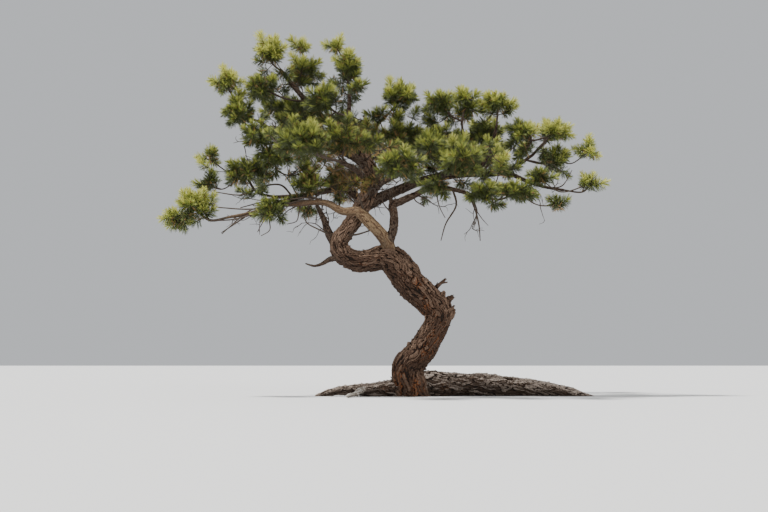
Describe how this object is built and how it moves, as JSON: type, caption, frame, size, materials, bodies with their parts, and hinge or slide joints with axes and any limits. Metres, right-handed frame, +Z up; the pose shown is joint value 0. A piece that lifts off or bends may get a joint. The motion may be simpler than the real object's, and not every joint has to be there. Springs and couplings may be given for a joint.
{
  "type": "wind-shaped pine tree growing on open ground",
  "caption": "Old wind-shaped pine with a leaning, doubled-back trunk, bare surface roots and flat tiers of long needles.",
  "frame": {"origin": "middle of the trunk's flat cut at ground level", "axes": "+Z up; +X along the long surface root and the longer boughs, to the right in the front view; the front faces -Y"},
  "size_m": [4.4436, 2.5479, 3.7977],
  "materials": {
    "bark": "rough grey-brown bark plates with orange-brown cracks",
    "bark_tan": "smoother tan to orange-brown bark",
    "bark_root": "flaky grey bark on a surface root",
    "bark_pale": "bleached dead wood",
    "needles": "olive to yellow-green needles on grey-brown twigs"
  },
  "bodies": {
    "root": {"trunk": "bark", "leader": "bark", "left_arm": "bark_tan", "left_upper_arm": "bark", "left_limb": "bark", "upper_left_bough": "bark", "top_bough": "bark", "spire_bough": "bark", "peak_bough": "bark", "right_main": "bark", "right_low_bough": "bark", "right_up_bough": "bark", "right_peak_bough": "bark", "right_end_bough": "bark", "front_left_bough": "bark", "front_right_bough": "bark", "back_left_bough": "bark", "back_right_bough": "bark", "right_back_bough": "bark", "right_front_bough": "bark", "root_right": "bark_root", "root_left": "bark_root", "root_bleached": "bark_pale", "snag": "bark", "dead_twig_long": "bark_pale", "dead_twig_forked": "bark_pale", "dead_twig_left": "bark_pale", "needles_left_tip": "needles", "needles_left_under": "needles", "needles_left_fan": "needles", "needles_upper_left": "needles", "needles_upper_left_low": "needles", "needles_top": "needles", "needles_top_column": "needles", "needles_top_shoulder": "needles", "needles_top_inner": "needles", "needles_spire": "needles", "needles_spire_shoulder": "needles", "needles_peak": "needles", "needles_peak_inner": "needles", "needles_front_left": "needles", "needles_front_centre": "needles", "needles_back_left": "needles", "needles_back_centre": "needles", "needles_back_right": "needles", "needles_front_right": "needles", "needles_low_left": "needles", "needles_low_centre": "needles", "needles_right_top": "needles", "needles_right_mid": "needles", "needles_right_peak": "needles", "needles_right_inner": "needles", "needles_right_crest": "needles", "needles_right_hang": "needles", "needles_right_outer": "needles", "needles_under_right": "needles", "needles_right_back": "needles", "needles_right_front": "needles"}
  },
  "joints": []
}
